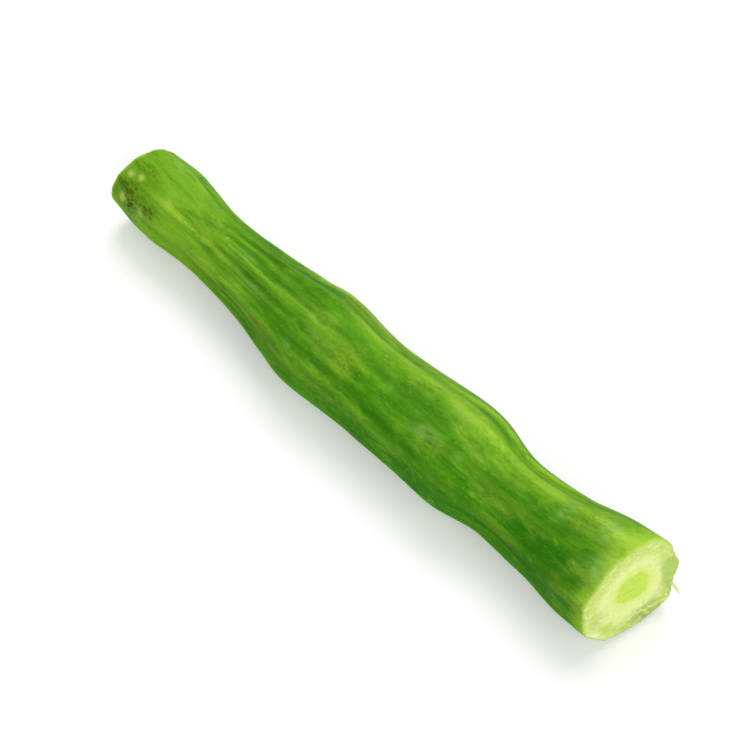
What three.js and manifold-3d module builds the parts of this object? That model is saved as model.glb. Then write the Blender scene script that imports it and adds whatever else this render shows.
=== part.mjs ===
// A cut length of drumstick (moringa) pod, lying on its side. Millimetres, +Z up, +X along the pod
// from its narrow cut end to its wide one, z = 0 at the surface that it lies on.
import * as THREE from "three";
import { mergeVertices } from "three/addons/utils/BufferGeometryUtils.js";
import Module from "manifold-3d";

// Driving dimensions.
const LENGTH = 121;
const WIDE_END_RADIUS = 10;

// The swelling profile: mean radius, as a share of the wide end's, at shares of the length.
const PROFILE = [
  [0.0, 0.655],
  [0.065, 0.715],
  [0.16, 0.61],
  [0.27, 0.68],
  [0.345, 0.81],
  [0.405, 0.915],
  [0.5, 0.845],
  [0.6, 0.875],
  [0.69, 0.93],
  [0.785, 0.735],
  [0.87, 0.81],
  [0.94, 0.95],
  [1.0, 1.0],
];

// The pod bows sideways, and each swelling leans a little to one side of that bow.
const BOW = -2.1;
const LEANS = [
  { at: 0.28, halfLength: 0.07, sideways: 0.25 },
  { at: 0.66, halfLength: 0.08, sideways: 0.7 },
  { at: 0.8, halfLength: 0.06, sideways: -0.15 },
];

// Cross-section: three flattened valves and nine ribs, turning slowly along the pod. Where one valve's
// middle faces, and one groove between ribs, is given at mid-length.
const VALVES = 3;
const RIBS = 9;
const VALVE_RISE = 0.025; // share of the radius at the wide end, growing to it from none at the narrow one
const RIB_RISE = 0.18; // mm above and below the mean surface
const TWIST = THREE.MathUtils.degToRad(16);
const LOWEST_VALVE = THREE.MathUtils.degToRad(-128);
const LOWEST_GROOVE = THREE.MathUtils.degToRad(-108);

// Each end is one knife cut, about six degrees off square at the wide end and eleven at the narrow one:
// how far it leans along the pod for each millimetre sideways (+Y) and upwards. Its rim is rounded a little.
const WIDE_CUT = { perSideways: 0.075, perUp: -0.065 };
const NARROW_CUT = { perSideways: 0.18, perUp: 0.05 };
const RIM_ROUNDING = 0.35;

// How it lies: axis height at each end, low enough for a thin flat where it touches.
const NARROW_END_HEIGHT = 8.2;
const WIDE_END_HEIGHT = 9.7;

// Mesh density.
const AROUND = 54;
const ALONG = 62;
const FACE_RINGS = [0, 0.4, 0.75];

// Smooth curve through the profile's points; x is the share of the length, y the share of the radius.
const profileCurve = new THREE.CatmullRomCurve3(
  PROFILE.map(([share, radius]) => new THREE.Vector3(share, radius, 0)),
  false,
  "centripetal",
);

// Mean radius at a share of the length, by bisection on the profile curve's x.
function meanRadius(share) {
  let low = 0;
  let high = 1;
  for (let i = 0; i < 30; i++) {
    const middle = (low + high) / 2;
    if (profileCurve.getPoint(middle).x < share) low = middle;
    else high = middle;
  }
  return WIDE_END_RADIUS * profileCurve.getPoint(low).y;
}

function centreline(share) {
  let sideways = BOW * Math.sin(Math.PI * share) ** 0.85;
  for (const lean of LEANS)
    sideways += lean.sideways * Math.exp(-(((share - lean.at) / lean.halfLength) ** 2));
  const height = THREE.MathUtils.lerp(NARROW_END_HEIGHT, WIDE_END_HEIGHT, share);
  return new THREE.Vector3(LENGTH * (share - 0.5), sideways, height);
}

// Distance from the centreline to the skin in direction angle, before the rim's rounding.
function skinRadius(share, angle) {
  const mean = meanRadius(share);
  const turned = angle - TWIST * (share - 0.5);
  const valves = -VALVE_RISE * share * mean * Math.cos(VALVES * (turned - LOWEST_VALVE));
  const ribs = -RIB_RISE * Math.cos(RIBS * (turned - LOWEST_GROOVE));
  return mean + valves + ribs;
}

// Places one point of the pod: share along it, angle round it, and reach from centreline to skin.
// A cut's lean fades out within the first sixth or so of the length.
function podPoint(share, angle, reach, inward) {
  const radius = reach * (skinRadius(share, angle) - inward);
  const sideways = radius * Math.cos(angle);
  const up = radius * Math.sin(angle);
  const cut = share < 0.5 ? NARROW_CUT : WIDE_CUT;
  const nearEnd = Math.abs(2 * share - 1) ** 6;
  const lean = nearEnd * (cut.perSideways * sideways + cut.perUp * up);
  return centreline(share).add(new THREE.Vector3(lean, sideways, up));
}

// The rows of the pod's surface, from the middle of one cut face to the middle of the other.
function surfaceRows() {
  const rimShare = RIM_ROUNDING / LENGTH;
  const narrowFace = FACE_RINGS.map((reach) => ({ share: 0, reach, inward: RIM_ROUNDING }));
  const narrowRim = [
    { share: 0, reach: 1, inward: RIM_ROUNDING },
    { share: rimShare, reach: 1, inward: 0 },
  ];
  const side = [];
  for (let i = 1; i < ALONG; i++) side.push({ share: i / ALONG, reach: 1, inward: 0 });
  const wideRim = [
    { share: 1 - rimShare, reach: 1, inward: 0 },
    { share: 1, reach: 1, inward: RIM_ROUNDING },
  ];
  const wideFace = FACE_RINGS.map((reach) => ({ share: 1, reach, inward: RIM_ROUNDING }));
  return [...narrowFace, ...narrowRim, ...side, ...wideRim, ...wideFace.reverse()];
}

// A lathe gives the closed grid of rows and angles, and each of its vertices moves to its place.
function podGeometry() {
  const rows = surfaceRows();
  const outline = rows.map(({ share, reach }) => new THREE.Vector2(reach, share));
  const geometry = new THREE.LatheGeometry(outline, AROUND);
  const position = geometry.getAttribute("position");
  for (let i = 0; i < position.count; i++) {
    const column = Math.floor(i / rows.length) % AROUND;
    const { share, reach, inward } = rows[i % rows.length];
    const angle = (2 * Math.PI * column) / AROUND;
    const point = podPoint(share, angle, reach, inward);
    position.setXYZ(i, point.x, point.y, point.z);
  }
  return geometry;
}

const wasm = await Module();
wasm.setup();

function solidOf(geometry) {
  const bare = geometry.clone();
  bare.deleteAttribute("normal");
  bare.deleteAttribute("uv");
  const merged = mergeVertices(bare, 1e-4);
  return new wasm.Manifold(
    new wasm.Mesh({
      numProp: 3,
      vertProperties: merged.getAttribute("position").array,
      triVerts: new Uint32Array(merged.index.array),
    }),
  );
}

function geometryOf(solid) {
  const mesh = solid.getMesh();
  const position = new Float32Array(mesh.numVert * 3);
  for (let i = 0; i < mesh.numVert; i++)
    position.set(mesh.vertProperties.subarray(i * mesh.numProp, i * mesh.numProp + 3), i * 3);
  const geometry = new THREE.BufferGeometry();
  geometry.setAttribute("position", new THREE.BufferAttribute(position, 3));
  geometry.setIndex(new THREE.BufferAttribute(mesh.triVerts, 1));
  geometry.computeVertexNormals();
  return geometry;
}

// The ribs that carry the pod end in a thin flat at z = 0.
function restOnSurface(geometry) {
  const room = new THREE.BoxGeometry(2 * LENGTH, 2 * LENGTH, LENGTH);
  room.translate(0, 0, LENGTH / 2);
  return geometryOf(solidOf(geometry).intersect(solidOf(room)));
}

// Moves the finished pod so that the origin is the middle of its box's base.
function centreOnBase(geometry) {
  geometry.computeBoundingBox();
  const { min, max } = geometry.boundingBox;
  geometry.translate(-(min.x + max.x) / 2, -(min.y + max.y) / 2, 0);
  return geometry;
}

const podSkin = new THREE.MeshStandardMaterial({
  color: new THREE.Color(0.27, 0.47, 0.09),
  roughness: 0.45,
  metalness: 0,
});

const pod = new THREE.Mesh(centreOnBase(restOnSurface(podGeometry())), podSkin);
pod.name = "drumstick_pod";

const part = new THREE.Group();
part.add(pod);

export default part;
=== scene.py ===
import math
from functools import reduce

import bpy
import numpy as np
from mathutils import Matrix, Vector


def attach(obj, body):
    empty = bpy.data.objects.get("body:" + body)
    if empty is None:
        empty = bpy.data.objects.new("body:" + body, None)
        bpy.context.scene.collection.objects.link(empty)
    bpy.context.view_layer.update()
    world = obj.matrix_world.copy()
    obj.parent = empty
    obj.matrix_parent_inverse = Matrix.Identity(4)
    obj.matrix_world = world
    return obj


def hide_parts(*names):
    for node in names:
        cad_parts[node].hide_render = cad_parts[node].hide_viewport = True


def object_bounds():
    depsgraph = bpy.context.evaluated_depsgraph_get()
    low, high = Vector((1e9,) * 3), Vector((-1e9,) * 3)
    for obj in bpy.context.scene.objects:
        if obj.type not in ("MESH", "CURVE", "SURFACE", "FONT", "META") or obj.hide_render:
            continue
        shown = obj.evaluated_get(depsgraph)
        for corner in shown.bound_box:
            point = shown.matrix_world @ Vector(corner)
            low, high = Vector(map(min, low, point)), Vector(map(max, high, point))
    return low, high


# A cut length of drumstick (moringa) pod, lying on a plain white floor. The pod's form repeats the CAD
# model's formula on a finer grid, in millimetres, and is then fitted to the CAD box. Added to it is what
# the CAD leaves out: fine ridges, lumps and pits in the skin, the flesh's relief on both cut faces, and
# a few stray fibres. Marks on the skin are painted as mesh attributes, which the materials read.

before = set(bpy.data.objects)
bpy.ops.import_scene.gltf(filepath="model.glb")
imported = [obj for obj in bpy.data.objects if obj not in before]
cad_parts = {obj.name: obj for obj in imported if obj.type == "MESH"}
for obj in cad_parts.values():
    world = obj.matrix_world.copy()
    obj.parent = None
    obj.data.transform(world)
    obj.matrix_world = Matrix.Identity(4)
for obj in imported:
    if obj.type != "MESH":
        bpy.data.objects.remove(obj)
cad_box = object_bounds()

NODE = "drumstick_pod"

# -------------------- the pod's form, as in the CAD model

LENGTH = 121
WIDE_END_RADIUS = 10
PROFILE = [
    (0.0, 0.655),
    (0.065, 0.715),
    (0.16, 0.61),
    (0.27, 0.68),
    (0.345, 0.81),
    (0.405, 0.915),
    (0.5, 0.845),
    (0.6, 0.875),
    (0.69, 0.93),
    (0.785, 0.735),
    (0.87, 0.81),
    (0.94, 0.95),
    (1.0, 1.0),
]
BOW = -2.1
LEANS = [(0.28, 0.07, 0.25), (0.66, 0.08, 0.7), (0.8, 0.06, -0.15)]  # at, half-length, sideways
VALVES = 3
RIBS = 9
VALVE_RISE = 0.025  # share of the radius at the wide end, growing to it from none at the narrow one
RIB_RISE = 0.18
TWIST = math.radians(16)
LOWEST_VALVE = math.radians(-128)
LOWEST_GROOVE = math.radians(-108)
NARROW_CUT = (0.18, 0.05)  # lean along the pod per millimetre sideways, and per millimetre upwards
WIDE_CUT = (0.075, -0.065)
NARROW_END_HEIGHT = 8.2
WIDE_END_HEIGHT = 9.7

# -------------------- the finer grid

AROUND = 288
ALONG = 232
WIDE_RINGS = 54
NARROW_RINGS = 38
RIM_ROUNDING = 0.2
RIM_STEPS = 4
CUT_REACH = 5  # mm of skin that follows the unevenness of the cut's rim


def smooth(value, low, high):
    """0 below low, 1 above high, and a smooth step between them."""
    t = np.clip((value - low) / (high - low), 0, 1)
    return t * t * (3 - 2 * t)


def fall(value, low, high):
    """1 below low, 0 above high, and a smooth step between them."""
    return smooth(-value, -high, -low)


def bell(distance):
    """1 at no distance, 0.37 at a distance of 1, and almost 0 from 2 on."""
    return np.exp(-(distance**2))


def apart(angle, degrees):
    """The smallest angle between the two, in degrees, with its sign."""
    return (np.degrees(angle) - degrees + 180) % 360 - 180


def close_to(angle, degrees, half_width):
    """1 on the line at that many degrees, and fading out on both sides of it."""
    return bell(apart(angle, degrees) / half_width)


def between(start, end, low, high, t):
    """The point at t on the straight line that is at start when t is low, and at end when it is high."""
    return start + (end - start) * (t - low) / (high - low)


def through_points(points, steps=60):
    """A centripetal Catmull-Rom curve through the points, by the Barry-Goldman construction."""
    points = np.array(points, float)
    p = np.vstack([2 * points[0] - points[1], points, 2 * points[-1] - points[-2]])
    knots = np.concatenate([[0], np.cumsum(np.linalg.norm(np.diff(p, axis=0), axis=1) ** 0.5)])
    curve = []
    for i in range(1, len(p) - 2):
        t0, t1, t2, t3 = knots[i - 1 : i + 3]
        t = np.linspace(t1, t2, steps, endpoint=False)[:, None]
        a = between(p[i - 1], p[i], t0, t1, t)
        b = between(p[i], p[i + 1], t1, t2, t)
        c = between(p[i + 1], p[i + 2], t2, t3, t)
        curve.append(between(between(a, b, t0, t2, t), between(b, c, t1, t3, t), t1, t2, t))
    curve.append(points[-1:])
    return np.vstack(curve)


PROFILE_CURVE = through_points(PROFILE)


def mean_radius(share):
    return WIDE_END_RADIUS * np.interp(share, PROFILE_CURVE[:, 0], PROFILE_CURVE[:, 1])


def turn_at(share, angle, start=LOWEST_GROOVE):
    """The angle counted from the lowest groove between ribs, which turns slowly along the pod."""
    return angle - start - TWIST * (share - 0.5)


def skin_radius(share, angle):
    mean = mean_radius(share)
    valves = -VALVE_RISE * share * mean * np.cos(VALVES * turn_at(share, angle, LOWEST_VALVE))
    return mean + valves - RIB_RISE * np.cos(RIBS * turn_at(share, angle))


def centreline(share):
    """The middle of the pod: along it, sideways and upwards, in mm."""
    sideways = BOW * np.sin(math.pi * share) ** 0.85
    for at, half_length, lean in LEANS:
        sideways = sideways + lean * bell((share - at) / half_length)
    height = NARROW_END_HEIGHT + (WIDE_END_HEIGHT - NARROW_END_HEIGHT) * share
    return LENGTH * (share - 0.5), sideways, height


# -------------------- smooth random fields


def skin_field(seed, count, turns, cycles):
    """A smooth random field over the skin: cosines with whole turns round it and some cycles along."""
    rng = np.random.default_rng(seed)
    around = rng.integers(turns[0], turns[1] + 1, count)
    along = rng.uniform(-cycles, cycles, count)
    phase = rng.uniform(0, 2 * math.pi, count)

    def at(share, angle):
        total = 0
        for m, c, p in zip(around, along, phase):
            total = total + np.cos(m * angle + 2 * math.pi * c * share + p)
        return total / math.sqrt(count)

    return at


def face_field(seed, count, shortest, longest, direction=None):
    """A smooth random field over a cut face: ripples with wavelengths in mm, all ways or one way."""
    rng = np.random.default_rng(seed)
    number = 2 * math.pi / rng.uniform(shortest, longest, count)
    heading = rng.uniform(0, 2 * math.pi, count)
    if direction is not None:
        heading = direction + rng.normal(0, 0.06, count)
    phase = rng.uniform(0, 2 * math.pi, count)

    def at(sideways, up):
        total = 0
        for k, h, p in zip(number, heading, phase):
            total = total + np.cos(k * (sideways * math.cos(h) + up * math.sin(h)) + p)
        return total / math.sqrt(count)

    return at


RIDGES = skin_field(11, 26, (17, 31), 1.6)
STRIAE = skin_field(12, 30, (45, 95), 3.5)
LUMPS = skin_field(13, 16, (1, 4), 6)
DIMPLES = skin_field(14, 40, (8, 26), 22)

# Where the fine ridges stand out: the pod shrinks in between its seeds there. At, half-length, strength.
RIDGED = [(0.27, 0.09, 1.0), (0.79, 0.07, 0.6), (0.93, 0.05, 0.35)]
RIDGED_AT_LEAST = 0.3

# How far each kind of unevenness stands out from the skin, in mm.
RIDGE_RISE = 0.055
STRIA_RISE = 0.014
LUMP_RISE = 0.09
DIMPLE_RISE = 0.022
LIGHT_STREAK_RISE = 0.09
DARK_STREAK_DROP = 0.11

# The wide end's rim isn't quite round: angle and half-width in degrees, half-length as a share of the
# pod's, and how far it stands out in mm, below 0 where it is drawn in.
RIM_CORNERS = [
    (316, 12, 0.05, 0.6),
    (352, 12, 0.05, 0.4),
    (60, 12, 0.09, 1.0),
    (104, 15, 0.05, 0.45),
    (248, 12, 0.030, -0.4),
    (277, 19, 0.035, -1.2),
]


def ridge_strength(share):
    total = RIDGED_AT_LEAST
    for at, half_length, strength in RIDGED:
        total = total + strength * bell((share - at) / half_length)
    return total


def skin_relief(share, angle):
    """What stands proud of the CAD's skin, in mm."""
    strength = ridge_strength(share)
    # The ribs stand out more over the necks, and they flatten out towards the narrow cut.
    rib_gain = 0.5 * strength - 0.75 * fall(share, 0.0, 0.07)
    ribs = -RIB_RISE * rib_gain * np.cos(RIBS * turn_at(share, angle))
    ridges = RIDGE_RISE * strength * RIDGES(share, angle)
    striae = STRIA_RISE * strength * STRIAE(share, angle)
    lumps = LUMP_RISE * LUMPS(share, angle)
    dimples = DIMPLE_RISE * DIMPLES(share, angle)
    corners = 0
    for at, half_width, half_length, rise in RIM_CORNERS:
        corners = corners + rise * bell((share - 1) / half_length) * close_to(angle, at, half_width)
    light, dark = paint_streaks_and_shading(share, angle)
    streaks = LIGHT_STREAK_RISE * light - DARK_STREAK_DROP * dark
    return ribs + ridges + striae + lumps + dimples + corners + streaks


# -------------------- the cut faces

# How far each kind of unevenness stands out from a cut face, in mm.
WAVER_RISE = 0.06
GRAIN_RISE = 0.012  # and as much again in the outer flesh
DRAG_RISE = 0.02
CLUMP_RISE = 0.03
BUNDLE_RISE = 0.02
LIP_RISE = 0.05
FRAY_RISE = 0.07
CHIP_DEPTH = 0.12

BUNDLES_PER_MM = 7  # fibre bundles round the face, for each mm of its radius
BUNDLE_REACH = 0.87  # how far out they lie, as a share of the radius
BUNDLE_RADIUS = 0.24
ZONE_WOBBLE = 0.12  # how much the seed zone's edge wanders, in mm


def turned(sideways, up, turn):
    """The same places on a cut face, measured along two axes that are turned."""
    cos, sin = math.cos(turn), math.sin(turn)
    return sideways * cos + up * sin, up * cos - sideways * sin


class Cut:
    """One cut face: its seed zone, its fibre bundles and the unevenness that the knife left.

    The zone is given by its two half-lengths in mm, its turn, its middle sideways and upwards, and how
    deep it lies. The chip, a smooth facet by the rim, is given by its middle, half-lengths and turn.
    """

    def __init__(self, end, radius, seed, zone, zone_turn, zone_middle, zone_drop, chip):
        self.end = end
        self.radius = radius
        self.zone = zone
        self.zone_turn = zone_turn
        self.zone_middle = zone_middle
        self.zone_drop = zone_drop
        self.chip = chip
        self.grain = face_field(seed, 44, 0.35, 1.1)
        self.waver = face_field(seed + 1, 10, 5, 14)
        self.clumps = face_field(seed + 6, 24, 1.1, 2.6)
        self.drag = face_field(seed + 2, 16, 0.35, 2.2, direction=1.1)
        self.wobble = face_field(seed + 3, 14, 1.2, 4)
        self.fray = skin_field(seed + 4, 40, (30, 120), 0.0)
        rng = np.random.default_rng(seed + 5)
        count = int(BUNDLES_PER_MM * radius)
        self.bundle_angle = np.linspace(0, 2 * math.pi, count, endpoint=False) + rng.normal(0, 0.03, count)
        self.bundle_reach = rng.normal(BUNDLE_REACH, 0.025, count)

    def from_zone(self, sideways, up):
        """The distance outside the edge of the seed zone, in mm, below 0 inside it."""
        sideways = sideways - self.zone_middle[0]
        up = up - self.zone_middle[1]
        a, b = turned(sideways, up, self.zone_turn)
        size = np.hypot(a / self.zone[0], b / self.zone[1])
        return (size - 1) * min(self.zone) + ZONE_WOBBLE * self.wobble(sideways, up)

    def bundles(self, sideways, up):
        """1 in the middle of each fibre bundle, and 0 between them."""
        total = np.zeros(np.broadcast(sideways, up).shape)
        for angle, reach in zip(self.bundle_angle, self.bundle_reach):
            a = reach * self.radius * math.cos(angle)
            b = reach * self.radius * math.sin(angle)
            total += bell(np.hypot(sideways - a, up - b) / BUNDLE_RADIUS)
        return total

    def chipped(self, sideways, up):
        """1 on the smooth facet that a second touch of the knife left near the rim, and 0 elsewhere."""
        if self.chip is None:
            return np.zeros(np.broadcast(sideways, up).shape)
        middle, size, turn = self.chip
        a, b = turned(sideways - middle[0], up - middle[1], turn)
        distance = (np.abs(a / size[0]) ** 3 + np.abs(b / size[1]) ** 3) ** (1 / 3)
        return fall(distance + 0.08 * self.wobble(sideways, up), 0.75, 1.25)

    def relief(self, sideways, up, reach):
        """How far the face stands out from the cut's plane, in mm."""
        inside = fall(self.from_zone(sideways, up), -0.25, 0.15)
        outer = smooth(reach, 0.62, 0.8)
        height = WAVER_RISE * self.waver(sideways, up)
        height += GRAIN_RISE * (1 + outer) * (1 - 0.8 * inside) * self.grain(sideways, up)
        height += DRAG_RISE * (1 - 0.6 * inside) * self.drag(sideways, up)
        height += CLUMP_RISE * outer * self.clumps(sideways, up)
        height += BUNDLE_RISE * self.bundles(sideways, up)
        height += LIP_RISE * smooth(reach, 0.93, 0.97)
        height += FRAY_RISE * smooth(reach, 0.95, 1.0) * self.fray(0, np.arctan2(up, sideways))
        height -= self.zone_drop * inside
        height -= CHIP_DEPTH * self.chipped(sideways, up)
        return height


WIDE_FACE = Cut(
    end=1,
    radius=WIDE_END_RADIUS,
    seed=31,
    zone=(3.45, 2.95),
    zone_turn=math.radians(-20),
    zone_middle=(0.4, 0.95),
    zone_drop=0.16,
    chip=((8.45, -1.6), (4.4, 1.9), math.radians(-78)),
)
NARROW_FACE = Cut(
    end=0,
    radius=WIDE_END_RADIUS * PROFILE[0][1],
    seed=47,
    zone=(1.9, 1.5),
    zone_turn=math.radians(75),
    zone_middle=(-0.1, -0.2),
    zone_drop=0.1,
    chip=None,
)


# -------------------- the pod's points


def end_rows(rings):
    """The narrow end's rows: over the cut face from its middle, and round its rim."""
    rows = []
    for k in range(1, rings + 1):
        step = k / rings
        # Rings lie closer together towards the rim, where the face has its fibres.
        rows.append((0.0, step * (1.25 - 0.25 * step), RIM_ROUNDING))
    for k in range(1, RIM_STEPS + 1):
        bend = math.pi / 2 * k / RIM_STEPS
        along = RIM_ROUNDING / LENGTH * (1 - math.cos(bend))
        rows.append((along, 1.0, RIM_ROUNDING * (1 - math.sin(bend))))
    return np.array(rows)


def grid_rows():
    """Each row's share of the length, reach from centreline to skin, and distance in from the skin."""
    skin = [(i / ALONG, 1.0, 0.0) for i in range(1, ALONG)]
    wide_end = end_rows(WIDE_RINGS)[::-1]
    wide_end[:, 0] = 1 - wide_end[:, 0]
    return np.vstack([end_rows(NARROW_RINGS), skin, wide_end])


def pod_points(share, angle, reach, inward):
    """The points' x, y and z in mm, before the pod is fitted to the CAD box."""
    relief = skin_relief(share, angle)
    radius = reach * (skin_radius(share, angle) + relief - inward)
    sideways = radius * np.cos(angle)
    up = radius * np.sin(angle)
    narrow = share < 0.5
    near_end = np.abs(2 * share - 1) ** 6
    per_sideways = np.where(narrow, NARROW_CUT[0], WIDE_CUT[0])
    per_up = np.where(narrow, NARROW_CUT[1], WIDE_CUT[1])
    x, y, z = centreline(share)
    x = x + near_end * (per_sideways * sideways + per_up * up)
    for cut, outward in ((NARROW_FACE, -1), (WIDE_FACE, 1)):
        from_end = LENGTH * np.abs(share - cut.end)
        x = x + outward * fall(from_end, 0, CUT_REACH) * cut.relief(sideways, up, reach)
    return x, y + sideways, np.maximum(z + up, 0)


ROWS = grid_rows()
SHARE = ROWS[:, 0:1]
REACH = ROWS[:, 1:2]
INWARD = ROWS[:, 2:3]
ANGLE = 2 * math.pi * np.arange(AROUND)[None, :] / AROUND
FIRST_SKIN_ROW = NARROW_RINGS - 1
LAST_SKIN_ROW = len(ROWS) - WIDE_RINGS

# -------------------- marks on the skin

# Long soft streaks: from and to as shares of the length, angle in degrees at each, half-width in degrees,
# and strength, which is below 0 for a dark one. Some rows are painted light: the light streak along the
# top crest is a painted highlight, and dark rows along the upper and lower outline are painted shade.
STREAKS_AND_PAINTED_SHADING = [
    # Painted highlight: the light streak along the top crest.
    (0.42, 0.64, 65, 69, 5.5, 0.55),
    (0.62, 1.00, 75, 79, 5.5, 0.6),
    (0.64, 0.76, 81, 83, 7, 0.35),
    (0.65, 0.70, 67, 68, 5, 0.3),
    (0.77, 0.86, 68, 70, 7, 0.35),
    (0.91, 1.00, 80, 80, 8, 0.45),
    (0.91, 0.99, 91, 93, 8, 0.35),
    (0.92, 0.97, 76, 79, 5, 0.5),
    (0.90, 0.97, 64, 66, 7, 0.3),
    (0.03, 0.12, 64, 62, 6, 0.35),
    (0.08, 0.18, 121, 121, 9, 0.9),
    (0.12, 0.19, 84, 88, 7, 0.35),
    (0.18, 0.26, 119, 120, 5, 0.4),
    (0.19, 0.32, 129, 131, 5, 0.3),
    (0.18, 0.29, 143, 143, 5, 0.4),
    # Painted light on the lower side, from the narrow end to the middle.
    (0.07, 0.58, 158, 163, 10, 0.28),
    (0.21, 0.43, 103, 104, 2.6, 0.5),
    (0.28, 0.33, 87, 88, 4, 0.3),
    (0.36, 0.44, 93, 90, 5, 0.45),
    (0.40, 0.52, 99, 109, 6, 0.3),
    (0.42, 0.50, 118, 121, 6, 0.35),
    (0.44, 0.50, 130, 131, 6, 0.35),
    (0.41, 0.49, 145, 145, 4, 0.25),
    (0.57, 0.62, 84, 84, 6, 0.5),
    (0.68, 0.75, 99, 103, 5, 0.3),
    (0.64, 0.69, 121, 123, 6, 0.4),
    (0.66, 0.80, 96, 92, 8, 0.25),
    (0.64, 0.69, 132, 132, 7, 0.4),
    (0.75, 0.82, 131, 134, 7, 0.4),
    (0.72, 0.88, 124, 125, 5, 0.3),
    (0.77, 0.86, 163, 161, 8, 0.25),
    (0.94, 1.00, 134, 134, 9, 0.3),
    (0.93, 1.00, 159, 159, 8, 0.5),
    (0.38, 0.57, 137, 142, 4.5, -0.6),
    (0.55, 0.78, 144, 157, 5.5, -0.8),
    (0.28, 0.40, 137, 137, 4, -0.4),
    (0.04, 0.30, 137, 135, 4, -0.35),
    (0.25, 0.29, 118, 119, 4, -0.35),
    (0.59, 0.66, 154, 160, 7, -0.3),
    (0.84, 0.89, 137, 140, 7, -0.45),
    (0.84, 0.98, 153, 151, 8, -0.75),
    (0.43, 0.51, 92, 92, 5, -0.2),
    (0.53, 0.58, 94, 102, 8, -0.3),
    (0.59, 0.64, 93, 97, 6, -0.55),
    (0.58, 0.66, 106, 109, 5, -0.5),
    (0.73, 0.79, 115, 117, 7, -0.45),
    (0.78, 0.96, 118, 112, 8, -0.4),
    (0.89, 0.96, 104, 109, 6, -0.35),
    (0.58, 0.63, 130, 131, 6, -0.25),
    # Painted shade along the lower outline before the wide end.
    (0.80, 0.97, 174, 171, 10, -0.7),
    # Painted shade along the upper outline: this row and the four after it.
    (0.19, 0.41, 60, 59, 9, -0.6),
    (0.67, 0.74, 57, 59, 6, -0.7),
    (0.88, 0.93, 56, 56, 6, -0.5),
    (0.45, 0.50, 55, 57, 5, -0.4),
    (0.08, 0.19, 47, 47, 6, -0.3),
    (0.14, 0.20, 108, 108, 5, -0.25),
    (0.27, 0.39, 79, 84, 3, -0.6),
    (0.19, 0.30, 74, 74, 3, -0.5),
    (0.27, 0.43, 93, 94, 3, -0.5),
    (0.21, 0.42, 113, 110, 2.4, -0.5),
    (0.05, 0.09, 110, 116, 6, -0.3),
]
HIDDEN_STREAKS = 22
HIDDEN_FROM, HIDDEN_TO = 185, 410  # the side that the list leaves out, in degrees

# Small marks: kind, share of the length, angle in degrees, half-length and half-width in mm, strength.
MARKS = [
    ("bloom", 0.980, 122, 2.0, 2.2, 0.9),
    ("bloom", 0.950, 82, 2.0, 2.0, 1.0),
    ("bloom", 0.879, 87, 1.3, 2.0, 0.7),
    ("bloom", 0.672, 80, 2.6, 1.2, 0.4),
    ("bloom", 0.650, 124, 2.6, 1.3, 0.55),
    ("bloom", 0.562, 103, 0.8, 0.6, 0.4),
    ("bloom", 0.712, 120, 0.9, 0.7, 0.3),
    ("bloom", 0.397, 145, 1.0, 0.7, 0.4),
    ("bloom", 0.697, 157, 0.9, 0.6, 0.35),
    ("bloom", 0.635, 159, 0.7, 0.6, 0.35),
    ("bloom", 0.453, 39, 4.0, 0.6, 0.6),
    ("bloom", 0.900, 89, 1.0, 0.7, 0.6),
    ("bloom", 0.425, 118, 3.0, 1.0, 0.3),
    ("bloom", 0.290, 126, 2.4, 0.9, 0.45),
    ("bloom", 0.248, 95, 1.8, 1.0, 0.45),
    ("bloom", 0.050, 170, 2.6, 1.3, 1.1),
    ("bloom", 0.058, 66, 1.9, 0.8, 0.6),
    ("bloom", 0.935, 171, 1.2, 0.9, 0.6),
    ("scar", 0.490, 119, 2.2, 2.6, 0.6),
    ("scar", 0.462, 111, 2.0, 1.4, 0.35),
    ("scar", 0.423, 50, 3.6, 0.9, 1.0),
    ("scar", 0.905, 93, 1.0, 0.9, 1.0),
    ("scar", 0.935, 152, 0.7, 0.5, 0.7),
    ("scar", 0.340, 150, 3.0, 1.2, 0.4),
    ("scar", 0.185, 160, 4.0, 1.6, 0.45),
    ("specks", 0.033, 145, 4.2, 2.6, 1.0),
    ("specks", 0.078, 149, 1.6, 1.3, 1.0),
    ("specks", 0.040, 166, 2.2, 1.2, 0.9),
    ("specks", 0.040, 104, 2.2, 0.9, 0.6),
    ("dot", 0.015, 126, 0.80, 0.80, 0.9),
    ("dot", 0.033, 119, 0.85, 0.85, 0.9),
    ("dot", 0.024, 164, 0.90, 1.10, 1.0),
    ("dot", 0.064, 161, 0.85, 1.10, 0.6),
    ("dot", 0.203, 96, 0.50, 0.45, 0.5),
]
HIDDEN_MARKS = {"bloom": 9, "scar": 6, "specks": 3, "dot": 5}


def hidden_streaks():
    """Random streaks, for the side that the list leaves out."""
    rng = np.random.default_rng(51)
    made = []
    for _ in range(HIDDEN_STREAKS):
        start = rng.uniform(0, 0.75)
        angle = rng.uniform(HIDDEN_FROM, HIDDEN_TO)
        strength = rng.choice([-0.5, 0.35, 0.7])
        end = start + rng.uniform(0.12, 0.45)
        made.append((start, end, angle, angle + rng.uniform(-5, 5), rng.uniform(3, 8), strength))
    return made


def hidden_marks():
    """Random marks, for the same side."""
    rng = np.random.default_rng(52)
    made = []
    for kind, count in HIDDEN_MARKS.items():
        for _ in range(count):
            size = 0.5 if kind == "dot" else rng.uniform(0.8, 2.6)
            share = rng.uniform(0.02, 0.98)
            angle = rng.uniform(HIDDEN_FROM, HIDDEN_TO)
            made.append((kind, share, angle, size, 0.6 * size, rng.uniform(0.4, 0.9)))
    return made


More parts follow.
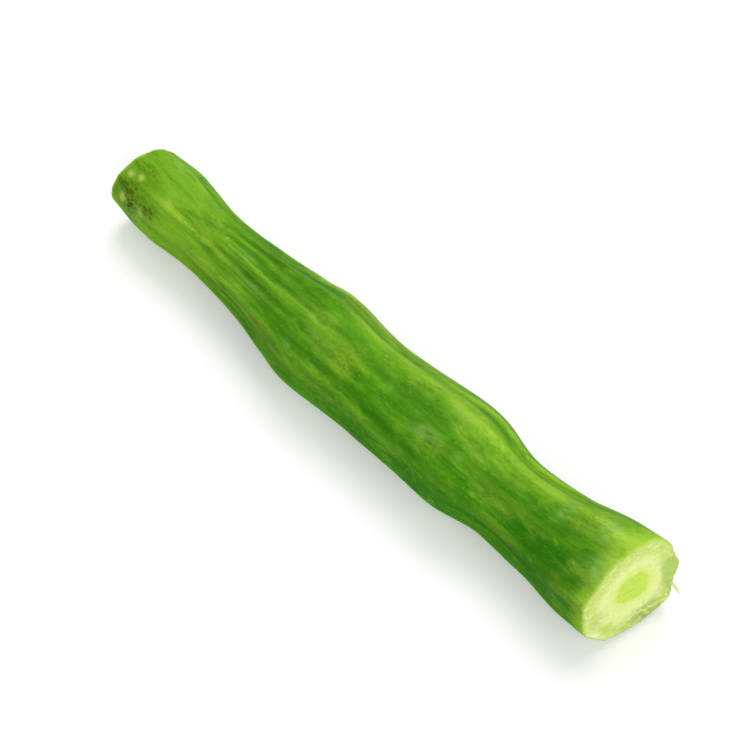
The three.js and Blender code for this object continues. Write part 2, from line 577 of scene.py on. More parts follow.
def paint_streaks_and_shading(share, angle):
    """Light streaks and dark ones, as two fields, with painted highlights and painted shade among them."""
    light = np.zeros(np.broadcast(share, angle).shape)
    dark = np.zeros_like(light)
    for start, end, first, last, half_width, strength in STREAKS_AND_PAINTED_SHADING + hidden_streaks():
        middle = first + (last - first) * (share - start) / (end - start)
        middle = middle + 1.5 * np.sin(40 * share + first)  # a streak wanders a little
        fade = 0.2 * (end - start)
        reach = smooth(share, start - fade, start + fade) * fall(share, end - fade, end + fade)
        value = abs(strength) * reach * close_to(angle, middle, half_width)
        if strength > 0:
            light += value
        else:
            dark += value
    return light, dark


def youth_and_top_light(share, angle):
    """Where the skin is younger and yellower towards the narrow end, and painted light along the upper
    side.
    """
    narrow_end = fall(share, 0.08, 0.32)
    upper = close_to(angle, 58, 32) * smooth(share, 0.36, 0.56)
    wide_end = smooth(share, 0.93, 1.0)
    return 0.8 * narrow_end + 0.62 * upper + 0.2 * wide_end


def shade_and_ripeness(share, angle):
    """Where the skin is a deeper green: painted shade along the lower side, and a deeper green before the
    wide end.
    """
    lower = close_to(angle, 185, 48) * smooth(share, 0.36, 0.52)
    before_end = close_to(angle, 142, 40) * bell((share - 0.87) / 0.1)
    return 0.48 * lower + 0.34 * before_end


def end_paleness(share, angle):
    """Where the skin pales towards the wide cut, most of all on its upper side."""
    upper = close_to(angle, 82, 22)
    from_cut = LENGTH * (1 - share)
    return (0.5 + 0.25 * upper) * fall(from_cut, 0, 4.5 + 1.5 * upper)


SPOT_MIDDLE = (-5.1, -5.2)  # the greener spot on the wide face: sideways and upwards, in mm
SPOT_SIZE = 1.2


def face_marks(sideways, up):
    """Greyer flesh, a fringe of white fibres and one greener spot, as three fields over a cut face."""
    outer = smooth(REACH, 0.6, 0.8)
    right = smooth(REACH, 0.48, 0.68) * close_to(ANGLE, 293, 28)
    left = bell((REACH - 0.67) / 0.12) * close_to(ANGLE, 191, 13)
    grey = 0.9 * right + 0.2 * outer + 0.55 * left
    fringe = smooth(REACH, 0.86, 0.93) * close_to(ANGLE, 216, 20)
    spot = bell(np.hypot(sideways - SPOT_MIDDLE[0], up - SPOT_MIDDLE[1]) / SPOT_SIZE)
    return grey, fringe, spot


def paint_marks(share, angle, wanted):
    """All the marks of one kind, as one field."""
    total = np.zeros(np.broadcast(share, angle).shape)
    for kind, at, degrees, half_length, half_width, strength in MARKS + hidden_marks():
        if kind != wanted:
            continue
        along = LENGTH * (share - at) / half_length
        across = mean_radius(share) * np.radians(apart(angle, degrees)) / half_width
        total += strength * bell(np.hypot(along, across))
    return total


# -------------------- stray fibres at the rims

# The one that shows: the end it springs from, which is 1 for the wide one, its angle in degrees, its
# length and radius in mm, and how it bends away: along the pod, sideways and upwards.
LOOSE_FIBRE = (1, -26, 2.7, 0.48, (1.0, -0.25, -0.35))
STUBS = [(1, 46), (0, 26)]  # short ones all round each rim: the end, and how many


def all_fibres():
    rng = np.random.default_rng(61)
    made = [LOOSE_FIBRE]
    for end, count in STUBS:
        for _ in range(count):
            angle = rng.uniform(0, 360)
            around = math.radians(angle)
            lean = rng.normal(0, 0.5, 2)
            outward = 1 if end else -1
            bend = (outward, 0.7 * math.cos(around) + lean[0], 0.7 * math.sin(around) + lean[1])
            made.append((end, angle, rng.uniform(0.3, 0.8), rng.uniform(0.05, 0.11), bend))
    return made


FIBRE_SIDES = 6
FIBRE_STEPS = 8
FIBRE_ROOT = 0.3  # mm that it reaches into the flesh
FIBRE_SPRING = 0.97  # where it springs from, as a share of the face's radius
FIBRE_TAPER = 0.6  # share of its radius lost at the tip
FIBRE_FLATNESS = 0.6  # its thickness as a share of its width


def rim_point(end, degrees):
    """A point on the cut face, a little inside its rim."""
    angle = np.array([[math.radians(degrees)]])
    x, y, z = pod_points(np.array([[float(end)]]), angle, np.array([[FIBRE_SPRING]]), RIM_ROUNDING)
    return np.array([x[0, 0], y[0, 0], z[0, 0]])


def direction_of(vector):
    return np.array(vector) / np.linalg.norm(vector)


def fibre(end, degrees, length, radius, bend):
    """A tapering, bent fibre with closed ends: its points and its faces."""
    out = np.array([1.0 if end else -1.0, 0, 0])
    bend = direction_of(bend)
    place = rim_point(end, degrees) - FIBRE_ROOT * out
    path = []
    for k in range(FIBRE_STEPS + 1):
        share = k / FIBRE_STEPS
        path.append(place)
        heading = out * (1 - share) + bend * share
        place = place + direction_of(heading) * length / FIBRE_STEPS
    points = []
    faces = []
    for k, middle in enumerate(path):
        along = direction_of(path[min(k + 1, FIBRE_STEPS)] - path[max(k - 1, 0)])
        side = direction_of(np.cross(along, (0.0, 0.6, 0.8)))
        other = np.cross(along, side)
        wide = radius * (1 - FIBRE_TAPER * k / FIBRE_STEPS)
        for j in range(FIBRE_SIDES):
            spin = 2 * math.pi * j / FIBRE_SIDES
            point = middle + wide * (math.cos(spin) * side + FIBRE_FLATNESS * math.sin(spin) * other)
            points.append((point[0], point[1], max(point[2], 0)))
    for k in range(FIBRE_STEPS):
        for j in range(FIBRE_SIDES):
            near = k * FIBRE_SIDES
            far = near + FIBRE_SIDES
            beside = (j + 1) % FIBRE_SIDES
            faces.append((near + j, near + beside, far + beside, far + j))
    last = FIBRE_STEPS * FIBRE_SIDES
    faces.append(tuple(range(FIBRE_SIDES))[::-1])
    faces.append(tuple(last + j for j in range(FIBRE_SIDES)))
    return np.array(points), faces


# -------------------- the mesh


def fitted(points):
    """Millimetres in the pod's own frame to metres in the CAD's: the same length, centred the same."""
    low, high = points.min(0), points.max(0)
    cad_low, cad_high = (np.array(corner) for corner in cad_box)
    unit = (cad_high[0] - cad_low[0]) / (high[0] - low[0])
    middle = (low + high) / 2
    target = (cad_low + cad_high) / 2
    return lambda p: np.column_stack(
        [
            target[0] + unit * (p[:, 0] - middle[0]),
            target[1] + unit * (p[:, 1] - middle[1]),
            cad_low[2] + unit * p[:, 2],
        ]
    )


def grid_faces(rows):
    """Quads between the rows, and a fan at the middle of each cut face."""
    column = np.arange(AROUND)
    beside = (column + 1) % AROUND
    quads = []
    for r in range(rows - 1):
        here, there = r * AROUND, (r + 1) * AROUND
        quads.append(np.column_stack([here + column, there + column, there + beside, here + beside]))
    narrow_middle = rows * AROUND
    wide_middle = narrow_middle + 1
    last = (rows - 1) * AROUND
    fans = [(narrow_middle, c, b) for c, b in zip(column, beside)]
    fans += [(wide_middle, last + b, last + c) for c, b in zip(column, beside)]
    return np.vstack(quads), fans


def write_attribute(mesh, name, kind, values):
    attribute = mesh.attributes.new(name, kind, "POINT")
    key = "value" if kind == "FLOAT" else "vector"
    attribute.data.foreach_set(key, np.asarray(values, np.float32).ravel())


SKIN, FLESH = 0, 1  # the pod's materials, in the order that they are added


def build_pod():
    x, y, z = pod_points(SHARE, ANGLE, REACH, INWARD)
    grid = np.stack([x, y, z], -1).reshape(-1, 3)
    middles = np.vstack([grid[:AROUND].mean(0), grid[-AROUND:].mean(0)])
    quads, fans = grid_faces(len(ROWS))
    points = [grid, middles]
    faces = [tuple(q) for q in quads.tolist()] + fans
    base = len(grid) + 2
    fibres = all_fibres()
    for entry in fibres:
        fibre_points, fibre_faces = fibre(*entry)
        points.append(fibre_points)
        faces += [tuple(base + i for i in face) for face in fibre_faces]
        base += len(fibre_points)
    place = fitted(grid)
    mesh = bpy.data.meshes.new("pod")
    mesh.from_pydata(place(np.vstack(points)).tolist(), [], faces)
    mesh.polygons.foreach_set("use_smooth", [True] * len(faces))
    write_pod_attributes(mesh, base - len(grid) - 2)
    row_of_quad = np.arange(len(quads)) // AROUND
    on_skin = (row_of_quad >= FIRST_SKIN_ROW) & (row_of_quad < LAST_SKIN_ROW)
    index = np.full(len(faces), FLESH, np.int32)
    index[: len(quads)][on_skin] = SKIN
    mesh.polygons.foreach_set("material_index", index)
    write_uv(mesh, len(fibres))
    mesh.update()
    piece = bpy.data.objects.new("pod_whole", mesh)
    bpy.context.scene.collection.objects.link(piece)
    return piece


# The texture map's layout: the skin unrolled into a rectangle, the cut faces as discs above it, and the
# fibres in a grid of cells beside those. All in shares of the map's width and height.
SKIN_CORNER = (0.02, 0.02)
SKIN_SIZE = (0.96, 0.70)
NARROW_DISC = (0.12, 0.86, 0.08)  # middle, and radius
WIDE_DISC = (0.35, 0.86, 0.12)
CELLS_CORNER = (0.50, 0.74)
CELL_SIZE = (0.04, 0.034)
CELLS_ACROSS = 12


def disc_uv(disc, reach, turn):
    return disc[0] + disc[2] * reach * np.cos(turn), disc[1] + disc[2] * reach * np.sin(turn)


def grid_uv():
    """The map's points for each corner of the grid's quads."""
    rows = len(ROWS)
    step = np.hypot(LENGTH * np.diff(ROWS[:, 0]), np.diff(ROWS[:, 2]))
    step[:FIRST_SKIN_ROW] = 0
    step[LAST_SKIN_ROW:] = 0
    along = np.concatenate([[0], np.cumsum(step)]) / step.sum()
    row = np.arange(rows - 1)[:, None]
    column = np.arange(AROUND)[None, :]
    is_skin = (row >= FIRST_SKIN_ROW) & (row < LAST_SKIN_ROW)
    corners = []
    for r, c in [(row, column), (row + 1, column), (row + 1, column + 1), (row, column + 1)]:
        share = c / AROUND + 0 * r
        turn = 2 * math.pi * share
        skin = (SKIN_CORNER[0] + SKIN_SIZE[0] * along[r] + 0 * c, SKIN_CORNER[1] + SKIN_SIZE[1] * share)
        part = []
        discs = [disc_uv(disc, ROWS[r, 1], turn) for disc in (NARROW_DISC, WIDE_DISC)]
        for on_skin, on_narrow, on_wide in zip(skin, *discs):
            on_face = np.where(row < FIRST_SKIN_ROW, on_narrow, on_wide)
            part.append(np.where(is_skin, on_skin, on_face))
        corners.append(np.stack(part, -1).reshape(-1, 2))
    return np.stack(corners, 1).reshape(-1, 2)


def fan_uv():
    """The map's points for the triangles in the middle of each cut face."""
    turns = 2 * math.pi * np.arange(AROUND + 1) / AROUND
    here, there = turns[:-1], turns[1:]
    points = []
    for disc, row, first, second in ((NARROW_DISC, 0, here, there), (WIDE_DISC, -1, there, here)):
        for a, b in zip(first, second):
            points += [disc[:2], disc_uv(disc, ROWS[row, 1], a), disc_uv(disc, ROWS[row, 1], b)]
    return np.array(points)


def fibre_uv(number):
    """The map's points for one fibre, in its own cell."""
    points = []
    for k in range(FIBRE_STEPS):
        for j in range(FIBRE_SIDES):
            for a, b in ((j, k), (j + 1, k), (j + 1, k + 1), (j, k + 1)):
                points.append((0.1 + 0.8 * a / FIBRE_SIDES, 0.1 + 0.5 * b / FIBRE_STEPS))
    spins = 2 * math.pi * np.arange(FIBRE_SIDES) / FIBRE_SIDES
    for middle, order in ((0.3, spins[::-1]), (0.7, spins)):
        points += [(middle + 0.1 * math.cos(a), 0.8 + 0.1 * math.sin(a)) for a in order]
    corner = np.array(CELLS_CORNER) + np.array(CELL_SIZE) * (number % CELLS_ACROSS, number // CELLS_ACROSS)
    return corner + np.array(CELL_SIZE) * np.array(points)


def write_uv(mesh, fibres):
    parts = [grid_uv(), fan_uv()] + [fibre_uv(number) for number in range(fibres)]
    layer = mesh.uv_layers.new(name="OFBake")
    layer.data.foreach_set("uv", np.vstack(parts).astype(np.float32).ravel())


GIRTH = 9.0  # mm, about the mean radius, so that streaks follow the skin as it swells
FACES_APART = 20  # mm from one cut face's pattern to the other's, so that they differ


def write_pod_attributes(mesh, extra):
    """What the materials read. The last `extra` points, the fibres', get one plain value."""

    def with_middles(values):
        """The values in one row, followed by those of the points in the middle of the cut faces."""
        grid = np.broadcast_to(values, (len(ROWS), AROUND))
        return np.concatenate([grid.ravel(), [grid[0].mean(), grid[-1].mean()]])

    def write(name, values, rest=0.0):
        flat = np.concatenate([with_middles(values), np.full(extra, rest)])
        write_attribute(mesh, name, "FLOAT", flat)

    def write_vector(name, parts):
        flat = np.column_stack([with_middles(part) for part in parts])
        write_attribute(mesh, name, "FLOAT_VECTOR", np.vstack([flat, np.zeros((extra, 3))]))

    turn = turn_at(SHARE, ANGLE)
    write_vector("pod_place", [LENGTH * SHARE, GIRTH * np.cos(turn), GIRTH * np.sin(turn)])
    write("pod_from_cut", LENGTH * np.minimum(SHARE, 1 - SHARE))
    write("pod_youth_and_top_light", youth_and_top_light(SHARE, ANGLE))
    write("pod_shade_and_ripe", shade_and_ripeness(SHARE, ANGLE))
    write("pod_pale", end_paleness(SHARE, ANGLE))
    # The crests and grooves, which the skin's colour follows: painted highlight on crests, painted shade in
    # grooves.
    ribs = -np.cos(RIBS * turn)
    fine = RIDGES(SHARE, ANGLE)
    strength = ridge_strength(SHARE)
    write("pod_crest", 0.45 * ribs * (0.4 + strength) + 0.5 * fine * strength)
    write("pod_drawn", np.clip(strength - 0.25, 0, 1))
    light, dark = paint_streaks_and_shading(SHARE, ANGLE)
    write("pod_light", light)
    write("pod_dark", dark)
    for kind in ("bloom", "scar", "specks", "dot"):
        write("pod_" + kind, paint_marks(SHARE, ANGLE, kind))
    radius = REACH * (skin_radius(SHARE, ANGLE) - INWARD)
    sideways, up = radius * np.cos(ANGLE), radius * np.sin(ANGLE)
    write_vector("cut_place", [sideways, up, FACES_APART * SHARE])
    write("cut_reach", REACH, rest=0.9)
    narrow = SHARE < 0.5
    from_zone = np.where(narrow, NARROW_FACE.from_zone(sideways, up), WIDE_FACE.from_zone(sideways, up))
    write("cut_zone", from_zone, rest=5.0)
    bundles = np.where(narrow, NARROW_FACE.bundles(sideways, up), WIDE_FACE.bundles(sideways, up))
    write("cut_bundles", bundles)
    grey, fringe, spot = face_marks(sideways, up)
    write("cut_grey", grey, rest=0.7)
    write("cut_spot", np.where(narrow, 0.0, spot))
    write("cut_white", np.where(narrow, 0.0, fringe), rest=0.6)
    write("cut_chip", np.where(narrow, 0.0, WIDE_FACE.chipped(sideways, up)))


# -------------------- materials


def rgb(red, green, blue):
    """A colour from its usual 0 to 255 numbers, as the linear one that shaders take."""
    linear = []
    for c in (red / 255, green / 255, blue / 255):
        linear.append(c / 12.92 if c <= 0.04045 else ((c + 0.055) / 1.055) ** 2.4)
    return (*linear, 1.0)


class Shader:
    """A material made of nodes. Its methods add nodes and return their outputs."""

    def __init__(self, name):
        self.material = bpy.data.materials.new(name)
        self.material.use_nodes = True
        self.tree = self.material.node_tree
        self.tree.nodes.clear()

    def node(self, kind, **settings):
        made = self.tree.nodes.new(kind)
        for key, value in settings.items():
            setattr(made, key, value)
        return made

    def put(self, socket, value):
        """Links an output to a socket, or sets the socket to a plain value."""
        if isinstance(value, bpy.types.NodeSocket):
            self.tree.links.new(value, socket)
        else:
            socket.default_value = value

    def field(self, name):
        return self.node("ShaderNodeAttribute", attribute_name=name).outputs["Fac"]

    def place(self, name, scale):
        at = self.node("ShaderNodeAttribute", attribute_name=name).outputs["Vector"]
        scaled = self.node("ShaderNodeVectorMath", operation="MULTIPLY")
        self.put(scaled.inputs[0], at)
        self.put(scaled.inputs[1], scale)
        return scaled.outputs[0]

    def noise(self, at, detail=3.0, roughness=0.55, distortion=0.0):
        made = self.node("ShaderNodeTexNoise")
        self.put(made.inputs["Vector"], at)
        self.put(made.inputs["Scale"], 1.0)
        self.put(made.inputs["Detail"], detail)
        self.put(made.inputs["Roughness"], roughness)
        self.put(made.inputs["Distortion"], distortion)
        return made.outputs["Fac"]

    def dots(self, at, size):
        """Round dots, one a cell, that fade out over the outer two fifths of their size."""
        made = self.node("ShaderNodeTexVoronoi", feature="F1")
        self.put(made.inputs["Vector"], at)
        self.put(made.inputs["Scale"], 1.0)
        self.put(made.inputs["Randomness"], 1.0)
        return self.step(made.outputs["Distance"], size, 0.6 * size)

    def step(self, value, low, high, to=1.0):
        """0 at low, `to` at high, and a smooth step between them. High may be the smaller of the two."""
        made = self.node("ShaderNodeMapRange", interpolation_type="SMOOTHSTEP")
        self.put(made.inputs["Value"], value)
        self.put(made.inputs["From Min"], low)
        self.put(made.inputs["From Max"], high)
        self.put(made.inputs["To Max"], to)
        return made.outputs["Result"]

    def math(self, operation, a, b=0.0, clamp=False):
        made = self.node("ShaderNodeMath", operation=operation, use_clamp=clamp)
        self.put(made.inputs[0], a)
        self.put(made.inputs[1], b)
        return made.outputs[0]

    def times(self, *values):
        return reduce(lambda a, b: self.math("MULTIPLY", a, b), values)

    def plus(self, *values):
        return reduce(lambda a, b: self.math("ADD", a, b), values)

    def mix(self, amount, a, b):
        made = self.node("ShaderNodeMix", data_type="RGBA")
        self.put(made.inputs[0], amount)
        self.put(made.inputs[6], a)
        self.put(made.inputs[7], b)
        return made.outputs[2]

    def shade(self, colour, field, lighter, darker, strength=1.0):
        """The colour, made lighter where the field is high and darker where it is low.

        Each of the two is where it starts, where it is at its most, how much that is, and its colour.
        """
        for start, full, most, other in (lighter, darker):
            amount = self.times(self.step(field, start, full, to=most), strength)
            colour = self.mix(amount, colour, other)
        return colour

    def blend(self, amount, a, b):
        """The same as mix, for plain numbers."""
        made = self.node("ShaderNodeMix", data_type="FLOAT")
        self.put(made.inputs[0], amount)
        self.put(made.inputs[2], a)
        self.put(made.inputs[3], b)
        return made.outputs[0]

    def bump(self, height, distance, normal=None):
        made = self.node("ShaderNodeBump")
        self.put(made.inputs["Height"], height)
        self.put(made.inputs["Distance"], distance)
        self.put(made.inputs["Strength"], 1.0)
        if normal is not None:
            self.put(made.inputs["Normal"], normal)
        return made.outputs["Normal"]

    def finish(self, **inputs):
        surface = self.node("ShaderNodeBsdfPrincipled")
        for name, value in inputs.items():
            self.put(surface.inputs[name.replace("_", " ")], value)
        output = self.node("ShaderNodeOutputMaterial")
        self.put(output.inputs["Surface"], surface.outputs[0])
        return self.material


DEEP_GREEN = rgb(41, 102, 7)
SHADE_AND_RIPE_GREEN = rgb(18, 114, 4)
LEAF_GREEN = rgb(83, 153, 23)
YOUNG_AND_LIT_GREEN = rgb(127, 183, 38)
PALE_STREAK_AND_HIGHLIGHT = rgb(172, 214, 66)
BLOOM_GREEN = rgb(148, 190, 104)
SCAR_YELLOW = rgb(166, 178, 44)
SCAR_BROWN = rgb(104, 112, 40)
SPECK_OLIVE = rgb(70, 90, 16)
DOT_YELLOW = rgb(190, 216, 100)
RIM_PALE = rgb(188, 220, 96)


def skin_material():
    s = Shader("pod_skin")
    crest = s.field("pod_crest")
    drawn = s.field("pod_drawn")
    # The place is in mm: x along the pod. Lines run far where the skin is drawn out over a neck, and are
    # broken up elsewhere, where soft patches and a fine grain show more.
    bands = s.noise(s.place("pod_place", (0.022, 0.36, 0.36)), detail=3.0)
    long_lines = s.noise(s.place("pod_place", (0.045, 1.5, 1.5)), detail=3.0, roughness=0.6)
    short_lines = s.noise(s.place("pod_place", (0.22, 1.1, 1.1)), detail=4.0, roughness=0.65)
    lines = s.blend(drawn, short_lines, long_lines)
    fine = s.noise(s.place("pod_place", (0.12, 4.2, 4.2)), detail=2.0)
    patches = s.noise(s.place("pod_place", (0.14, 0.40, 0.40)), detail=5.0, roughness=0.62, distortion=0.4)
    grain = s.noise(s.place("pod_place", (1.1, 2.2, 2.2)), detail=4.0, roughness=0.7)
    pitting = s.noise(s.place("pod_place", (1.3, 2.0, 2.0)), detail=2.0)

    green = s.mix(s.step(bands, 0.60, 0.36, to=0.5), LEAF_GREEN, DEEP_GREEN)
    # Yellower towards the narrow end, and painted light along the upper side.
    green = s.mix(s.field("pod_youth_and_top_light"), green, YOUNG_AND_LIT_GREEN)
    # Painted shade along the lower side, and a deeper green before the wide end.
    green = s.mix(s.field("pod_shade_and_ripe"), green, SHADE_AND_RIPE_GREEN)
    green = s.shade(green, patches, (0.50, 0.70, 0.6, YOUNG_AND_LIT_GREEN), (0.50, 0.30, 0.6, DEEP_GREEN))
    drawn_out = s.plus(s.times(drawn, 0.6), 0.4)
    green = s.shade(green, lines, (0.52, 0.80, 0.4, PALE_STREAK_AND_HIGHLIGHT), (0.50, 0.26, 0.45, DEEP_GREEN), drawn_out)
    green = s.shade(green, fine, (0.52, 0.80, 0.2, PALE_STREAK_AND_HIGHLIGHT), (0.48, 0.22, 0.25, DEEP_GREEN), drawn_out)
    green = s.shade(green, grain, (0.52, 0.78, 0.3, PALE_STREAK_AND_HIGHLIGHT), (0.48, 0.22, 0.35, DEEP_GREEN))
    # Crests are lighter than the grooves between them: painted highlight on the crests, and painted shade
    # in the grooves.
    green = s.shade(green, crest, (0.1, 0.9, 0.32, YOUNG_AND_LIT_GREEN), (-0.1, -0.9, 0.4, DEEP_GREEN))
    broken = s.plus(s.step(patches, 0.3, 0.6, to=0.5), s.step(grain, 0.35, 0.65, to=0.3), 0.2)
    # Streaks, with painted highlights and painted shade among them.
    green = s.mix(s.times(s.field("pod_light"), broken), green, PALE_STREAK_AND_HIGHLIGHT)
    green = s.mix(s.times(s.field("pod_dark"), 0.75), green, DEEP_GREEN)
    green = s.mix(s.times(s.field("pod_pale"), s.plus(broken, 0.4)), green, PALE_STREAK_AND_HIGHLIGHT)
    # Waxy bloom, scars, pale dots and dark specks.
    wax = s.noise(s.place("pod_place", (0.5, 1.3, 1.3)), detail=5.0, roughness=0.65)
    bloom = s.times(s.field("pod_bloom"), s.step(wax, 0.38, 0.6))
    bloom = s.plus(bloom, s.step(wax, 0.62, 0.74, to=0.3))
    green = s.mix(s.times(bloom, 0.7), green, BLOOM_GREEN)
    scar = s.times(s.field("pod_scar"), s.step(pitting, 0.30, 0.62))
    green = s.mix(s.times(scar, 0.5), green, SCAR_YELLOW)
    green = s.mix(s.times(s.field("pod_scar"), s.step(pitting, 0.42, 0.30, to=0.5)), green, SCAR_BROWN)
    speck_cells = s.dots(s.place("pod_place", (1.15, 1.2, 1.2)), 0.62)
    speck_cells = s.times(speck_cells, s.step(grain, 0.30, 0.52, to=0.7))
    specks = s.times(s.field("pod_specks"), s.plus(speck_cells, 0.42))
    rare_cells = s.dots(s.place("pod_place", (0.22, 0.5, 0.5)), 0.09)
    specks = s.plus(specks, s.times(rare_cells, 0.5))
    green = s.mix(s.times(specks, 0.85), green, SPECK_OLIVE)
    dot = s.step(s.field("pod_dot"), 0.05, 0.95)
    green = s.mix(s.times(dot, 0.8), green, DOT_YELLOW)
    # The skin is frayed and pale where it was cut.
    waver = s.noise(s.place("pod_place", (0.5, 0.9, 0.9)), detail=4.0, roughness=0.65)
    frayed = s.plus(s.field("pod_from_cut"), s.times(waver, -1.3), s.times(fine, -0.6))
    green = s.mix(s.step(frayed, -0.2, -1.0, to=0.6), green, RIM_PALE)

    rough = s.plus(0.5, s.times(bloom, 0.2), s.times(scar, 0.15), s.times(lines, 0.12))
    striae = s.noise(s.place("pod_place", (0.3, 5.5, 5.5)), detail=3.0, roughness=0.6)
    pores = s.dots(s.place("pod_place", (1.6, 3.2, 3.2)), 0.3)
    normal = s.bump(s.plus(s.times(striae, drawn_out), s.times(grain, 0.8)), 0.00006)
    normal = s.bump(s.plus(s.times(pores, -0.5), s.times(specks, -0.3), dot), 0.00003, normal=normal)
    return s.finish(Base_Color=green, Roughness=rough, Normal=normal, Specular_IOR_Level=0.035)


CREAM = rgb(229, 242, 150)
LIME = rgb(198, 228, 78)
HALO_LIME = rgb(214, 236, 112)
FIBRE_GREEN = rgb(208, 230, 108)
GREY_FLESH = rgb(152, 174, 96)
WHITE_FIBRE = rgb(240, 248, 196)
CHIP_GREEN = rgb(158, 192, 86)
SPOT_GREEN = rgb(172, 218, 40)
CORE_DEEP = rgb(182, 216, 56)
EDGE_GREEN = rgb(178, 210, 80)


def flesh_material():
    s = Shader("pod_flesh")
    reach = s.field("cut_reach")
    zone = s.field("cut_zone")
    waver = s.noise(s.place("cut_place", (0.8, 0.8, 0.8)), detail=3.0)
    grain = s.noise(s.place("cut_place", (2.2, 2.2, 2.2)), detail=3.0, roughness=0.65)
    fine = s.noise(s.place("cut_place", (6.0, 6.0, 6.0)), detail=3.0, roughness=0.7)
    blotches = s.noise(s.place("cut_place", (0.9, 0.9, 0.9)), detail=4.0, roughness=0.7)
    ring = s.plus(reach, s.times(s.math("SUBTRACT", waver, 0.5), 0.4))

    flesh = s.mix(s.step(ring, 0.62, 0.86), CREAM, FIBRE_GREEN)
    flesh = s.shade(flesh, blotches, (0.5, 0.66, 0.6, WHITE_FIBRE), (0.5, 0.34, 0.5, FIBRE_GREEN))
    flesh = s.mix(s.step(grain, 0.5, 0.72, to=0.35), flesh, WHITE_FIBRE)
    flesh = s.mix(s.times(s.step(ring, 0.5, 0.8), s.step(grain, 0.48, 0.30, to=0.4)), flesh, GREY_FLESH)
    flesh = s.mix(s.step(s.field("cut_bundles"), 0.35, 0.9, to=0.15), flesh, WHITE_FIBRE)
    grey = s.times(s.field("cut_grey"), s.step(waver, 0.66, 0.42))
    flesh = s.mix(s.times(grey, 0.85), flesh, GREY_FLESH)
    white = s.times(s.field("cut_white"), s.step(blotches, 0.34, 0.50))
    flesh = s.mix(s.times(white, 0.8), flesh, WHITE_FIBRE)
    chip = s.times(s.field("cut_chip"), s.step(grain, 0.80, 0.50))
    flesh = s.mix(s.times(chip, 0.65), flesh, CHIP_GREEN)
    flesh = s.mix(s.times(s.field("cut_spot"), 0.7), flesh, SPOT_GREEN)
    flesh = s.mix(s.step(zone, 1.7, 0.1, to=0.7), flesh, HALO_LIME)
    core = s.plus(zone, s.times(s.math("SUBTRACT", waver, 0.5), 1.2))
    lime = s.mix(s.step(grain, 0.46, 0.70, to=0.5), LIME, HALO_LIME)
    lime = s.mix(s.step(blotches, 0.54, 0.36, to=0.6), lime, CORE_DEEP)
    flesh = s.mix(s.step(core, 0.35, -0.35, to=0.95), flesh, lime)
    edge = s.plus(reach, s.times(s.math("SUBTRACT", grain, 0.5), 0.06))
    bare = s.math("SUBTRACT", 1.0, s.field("cut_white"), clamp=True)
    flesh = s.mix(s.times(s.step(edge, 0.955, 1.0, to=0.5), bare), flesh, EDGE_GREEN)

    rough = s.plus(0.46, s.times(grain, 0.2))
    normal = s.bump(s.plus(fine, grain), 0.00008)
    return s.finish(
        Base_Color=flesh,
        Roughness=rough,
        Normal=normal,
        Specular_IOR_Level=0.25,
        Subsurface_Weight=0.1,
        Subsurface_Radius=(1.0, 0.8, 0.3),
        Subsurface_Scale=0.001,
    )


# -------------------- floor, light and camera

FLOOR_HALF = 3.0  # metres
FLOOR_GAP = 0.00002
FLOOR_WHITE = 0.8
FLOOR_GLOW = 0.3
SKY_LEVEL = 0.4  # what the white surroundings light the pod with
SUNS = [
    # towards the light (x, y, z), strength, softness in degrees
    ((-0.25, 0.45, 1.0), 1.35, 40),
    ((1.0, -0.40, 0.62), 1.6, 50),
]


def seen_directly(tree):
    """1 for rays that show a surface to the eye, straight, mirrored or through glass, and else 0."""
    path = tree.nodes.new("ShaderNodeLightPath")
    total = path.outputs["Is Camera Ray"]
    for name in ("Is Glossy Ray", "Is Transmission Ray"):
        more = tree.nodes.new("ShaderNodeMath")
        more.operation = "MAXIMUM"
        tree.links.new(total, more.inputs[0])
        tree.links.new(path.outputs[name], more.inputs[1])
        total = more.outputs[0]
    return total


def make_world():
    world = bpy.data.worlds.new("white_surroundings")
    world.use_nodes = True
    tree = world.node_tree
    background = tree.nodes["Background"]
    background.inputs["Color"].default_value = (1, 1, 1, 1)
    level = tree.nodes.new("ShaderNodeMapRange")
    tree.links.new(seen_directly(tree), level.inputs["Value"])
    level.inputs["To Min"].default_value = SKY_LEVEL
    level.inputs["To Max"].default_value = 1.0
    tree.links.new(level.outputs["Result"], background.inputs["Strength"])
    bpy.context.scene.world = world


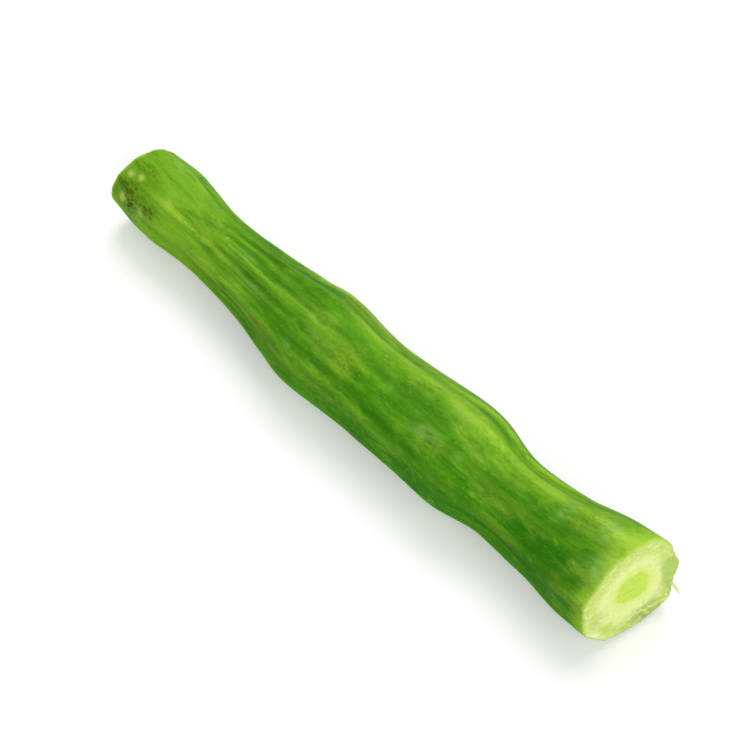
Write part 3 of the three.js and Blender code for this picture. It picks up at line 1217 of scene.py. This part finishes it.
def make_floor():
    """A white floor. To the eye it also glows a little, so that it is white where no shadow falls."""
    corners = [(-1, -1), (1, -1), (1, 1), (-1, 1)]
    mesh = bpy.data.meshes.new("floor")
    points = [(FLOOR_HALF * a, FLOOR_HALF * b, -FLOOR_GAP) for a, b in corners]
    mesh.from_pydata(points, [], [(0, 1, 2, 3)])
    floor = bpy.data.objects.new("floor", mesh)
    bpy.context.scene.collection.objects.link(floor)
    s = Shader("floor_white")
    paper = s.node("ShaderNodeBsdfDiffuse")
    s.put(paper.inputs["Color"], (FLOOR_WHITE, FLOOR_WHITE, FLOOR_WHITE, 1))
    glow = s.node("ShaderNodeEmission")
    s.put(glow.inputs["Strength"], s.times(seen_directly(s.tree), FLOOR_GLOW))
    both = s.node("ShaderNodeAddShader")
    s.put(both.inputs[0], paper.outputs[0])
    s.put(both.inputs[1], glow.outputs[0])
    output = s.node("ShaderNodeOutputMaterial")
    s.put(output.inputs["Surface"], both.outputs[0])
    mesh.materials.append(s.material)


def make_suns():
    for k, (towards, strength, softness) in enumerate(SUNS):
        lamp = bpy.data.lights.new(f"softbox_{k}", "SUN")
        lamp.energy = strength
        lamp.angle = math.radians(softness)
        sun = bpy.data.objects.new(f"softbox_{k}", lamp)
        sun.rotation_mode = "QUATERNION"
        sun.rotation_quaternion = Vector(towards).to_track_quat("Z", "Y")
        bpy.context.scene.collection.objects.link(sun)


VIEW_AZIMUTH = math.radians(47.9)
VIEW_ELEVATION = math.radians(51.5)
VIEW_DISTANCE = 5.75  # in lengths of the pod
VIEW_WIDTH = 1.015  # what the view takes in at the pod, in lengths of the pod


def make_camera():
    low, high = (Vector(corner) for corner in cad_box)
    length = high.x - low.x
    flat = math.cos(VIEW_ELEVATION)
    back = Vector(
        (math.sin(VIEW_AZIMUTH) * flat, -math.cos(VIEW_AZIMUTH) * flat, math.sin(VIEW_ELEVATION))
    )
    data = bpy.data.cameras.new("camera")
    data.sensor_width = 36
    data.lens = data.sensor_width * VIEW_DISTANCE / VIEW_WIDTH
    data.clip_start = 0.01
    camera = bpy.data.objects.new("camera", data)
    camera.location = (low + high) / 2 + back * VIEW_DISTANCE * length
    camera.rotation_mode = "QUATERNION"
    camera.rotation_quaternion = (-back).to_track_quat("-Z", "Y")
    bpy.context.scene.collection.objects.link(camera)
    bpy.context.scene.camera = camera


bpy.context.scene.view_settings.view_transform = "Standard"
make_camera()
make_world()
make_floor()
make_suns()

pod = build_pod()
pod.data.materials.append(skin_material())
pod.data.materials.append(flesh_material())
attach(pod, "root")
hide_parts(NODE)
